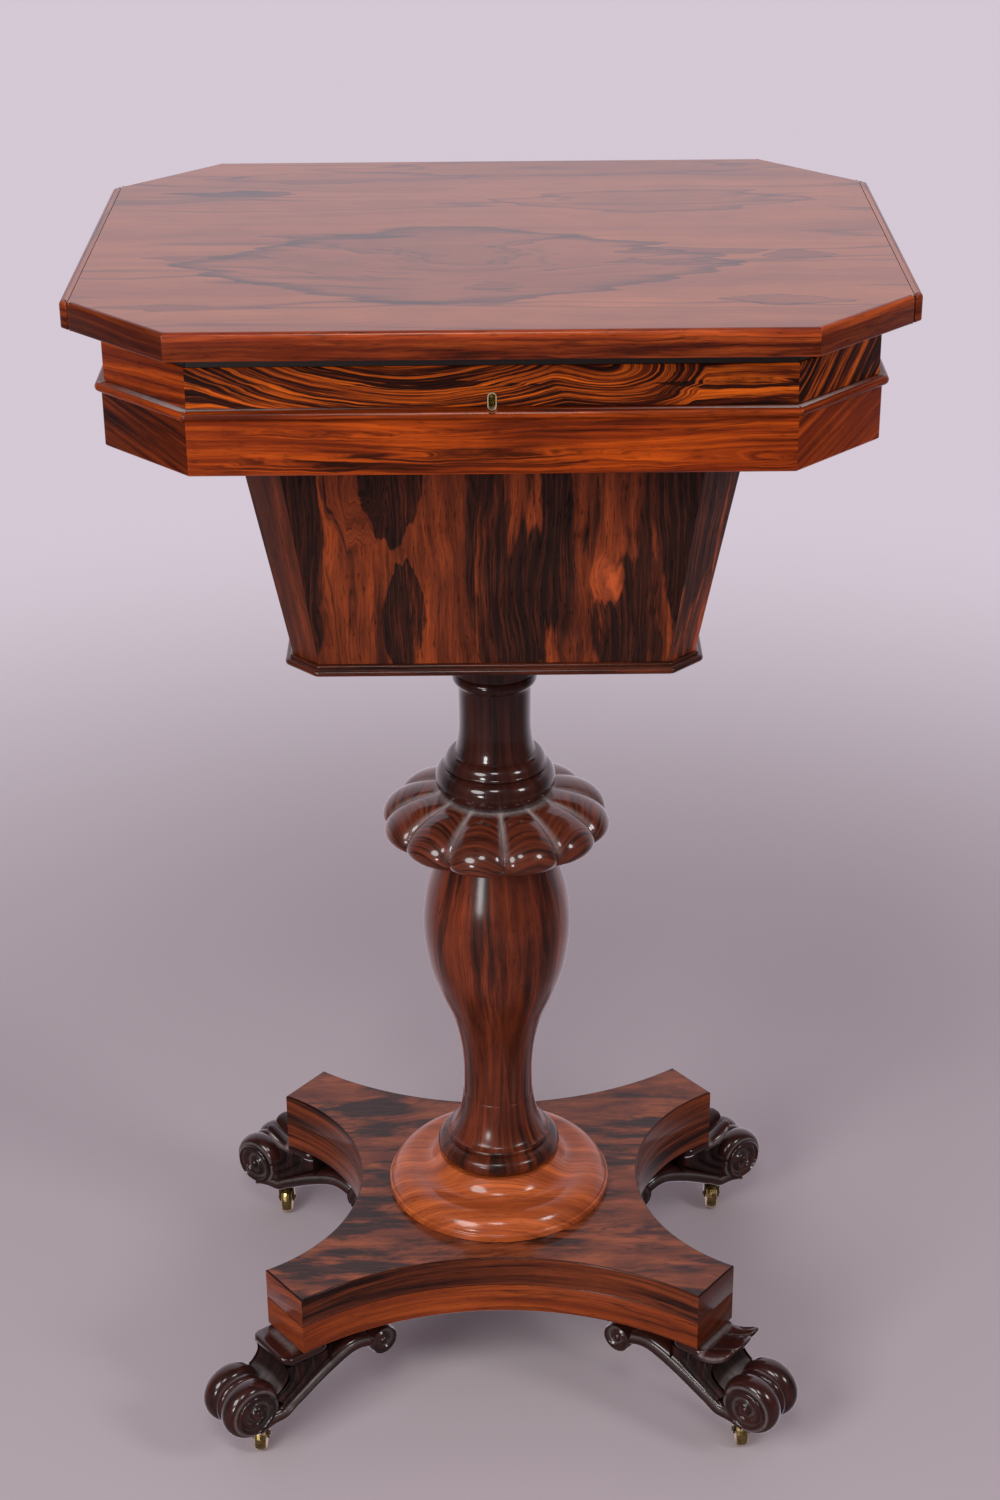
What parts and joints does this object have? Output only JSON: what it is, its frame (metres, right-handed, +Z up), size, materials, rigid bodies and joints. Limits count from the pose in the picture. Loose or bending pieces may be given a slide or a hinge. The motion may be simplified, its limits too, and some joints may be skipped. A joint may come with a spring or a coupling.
{
  "type": "sewing stand",
  "caption": "Pedestal work table in rosewood: canted hinged lid, fitted case, tapered well, turned column with lobed collar, scroll feet on brass casters",
  "frame": {"origin": "on the floor, under the centre of the column", "axes": "+Z up, -Y the front with the keyhole, +X the right-hand side seen from the front"},
  "size_m": [0.444, 0.3414, 0.745],
  "materials": {
    "lid_rosewood": "polished rosewood with long dark figure and a bright sheen",
    "veneer_rosewood": "polished rosewood veneer, orange brown with near-black figure",
    "dark_rosewood": "polished rosewood veneer, black and dark brown with red zones",
    "turned_rosewood": "polished turned and carved rosewood",
    "plinth_rosewood": "polished lighter rosewood",
    "base_rosewood": "polished rosewood veneer with dark streaks",
    "carved_rosewood": "carved rosewood, dark and dusty in the recesses",
    "mahogany": "plain mahogany, lightly polished",
    "brass": "aged brass"
  },
  "bodies": {
    "stand": {"case_front": "mahogany", "case_front_right": "mahogany", "case_right": "mahogany", "case_back_right": "mahogany", "case_back": "mahogany", "case_back_left": "mahogany", "case_left": "mahogany", "case_front_left": "mahogany", "case_floor": "mahogany", "work_tray": "mahogany", "upper_frieze": "veneer_rosewood", "lower_frieze": "veneer_rosewood", "frieze_moulding": "veneer_rosewood", "well_front": "dark_rosewood", "well_front_right": "dark_rosewood", "well_right": "dark_rosewood", "well_back_right": "dark_rosewood", "well_back": "dark_rosewood", "well_back_left": "dark_rosewood", "well_left": "dark_rosewood", "well_front_left": "dark_rosewood", "well_base": "dark_rosewood", "column_capital": "turned_rosewood", "column_neck": "turned_rosewood", "lobed_collar": "turned_rosewood", "baluster": "turned_rosewood", "plinth_ring": "plinth_rosewood", "base_platform": "base_rosewood", "foot_front_left": "carved_rosewood", "foot_front_right": "carved_rosewood", "foot_back_left": "carved_rosewood", "foot_back_right": "carved_rosewood", "caster_plate_front_left": "brass", "caster_plate_front_right": "brass", "caster_plate_back_left": "brass", "caster_plate_back_right": "brass", "hinge_left_case_leaf": "brass", "hinge_left_pin": "brass", "hinge_right_case_leaf": "brass", "hinge_right_pin": "brass", "lock_case": "brass", "keyhole_liner": "brass"},
    "lid": {"lid_board": "lid_rosewood", "lid_lipping_left": "lid_rosewood", "lid_lipping_right": "lid_rosewood", "hinge_left_lid_leaf": "brass", "hinge_right_lid_leaf": "brass", "lock_link_plate": "brass"},
    "bolt": {"lock_bolt": "brass"},
    "fork_front_left": {"caster_fork_front_left": "brass"},
    "fork_front_right": {"caster_fork_front_right": "brass"},
    "fork_back_left": {"caster_fork_back_left": "brass"},
    "fork_back_right": {"caster_fork_back_right": "brass"},
    "wheel_front_left": {"caster_wheel_front_left": "brass"},
    "wheel_front_right": {"caster_wheel_front_right": "brass"},
    "wheel_back_left": {"caster_wheel_back_left": "brass"},
    "wheel_back_right": {"caster_wheel_back_right": "brass"}
  },
  "joints": [
    {"name": "lid_hinge", "type": "hinge", "parent": "stand", "child": "lid", "pos_m": [0, 0.155, 0.73], "axis": [-1, 0, 0], "range_deg": [0, 98]},
    {"name": "lock_bolt_slide", "type": "slide", "parent": "stand", "child": "bolt", "axis": [1, 0, 0], "range_m": [0, 0.005]},
    {"name": "caster_swivel_front_left", "type": "hinge", "parent": "stand", "child": "fork_front_left", "pos_m": [-0.15138, -0.12588, 0.0285], "axis": [0, 0, 1], "continuous": true},
    {"name": "caster_swivel_front_right", "type": "hinge", "parent": "stand", "child": "fork_front_right", "pos_m": [0.15138, -0.12588, 0.0285], "axis": [0, 0, 1], "continuous": true},
    {"name": "caster_swivel_back_left", "type": "hinge", "parent": "stand", "child": "fork_back_left", "pos_m": [-0.15138, 0.12588, 0.0285], "axis": [0, 0, 1], "continuous": true},
    {"name": "caster_swivel_back_right", "type": "hinge", "parent": "stand", "child": "fork_back_right", "pos_m": [0.15138, 0.12588, 0.0285], "axis": [0, 0, 1], "continuous": true},
    {"name": "wheel_spin_front_left", "type": "hinge", "parent": "fork_front_left", "child": "wheel_front_left", "pos_m": [-0.15138, -0.12188, 0.011], "axis": [1, 0, 0], "continuous": true},
    {"name": "wheel_spin_front_right", "type": "hinge", "parent": "fork_front_right", "child": "wheel_front_right", "pos_m": [0.15138, -0.12188, 0.011], "axis": [1, 0, 0], "continuous": true},
    {"name": "wheel_spin_back_left", "type": "hinge", "parent": "fork_back_left", "child": "wheel_back_left", "pos_m": [-0.15138, 0.12988, 0.011], "axis": [1, 0, 0], "continuous": true},
    {"name": "wheel_spin_back_right", "type": "hinge", "parent": "fork_back_right", "child": "wheel_back_right", "pos_m": [0.15138, 0.12988, 0.011], "axis": [1, 0, 0], "continuous": true}
  ]
}
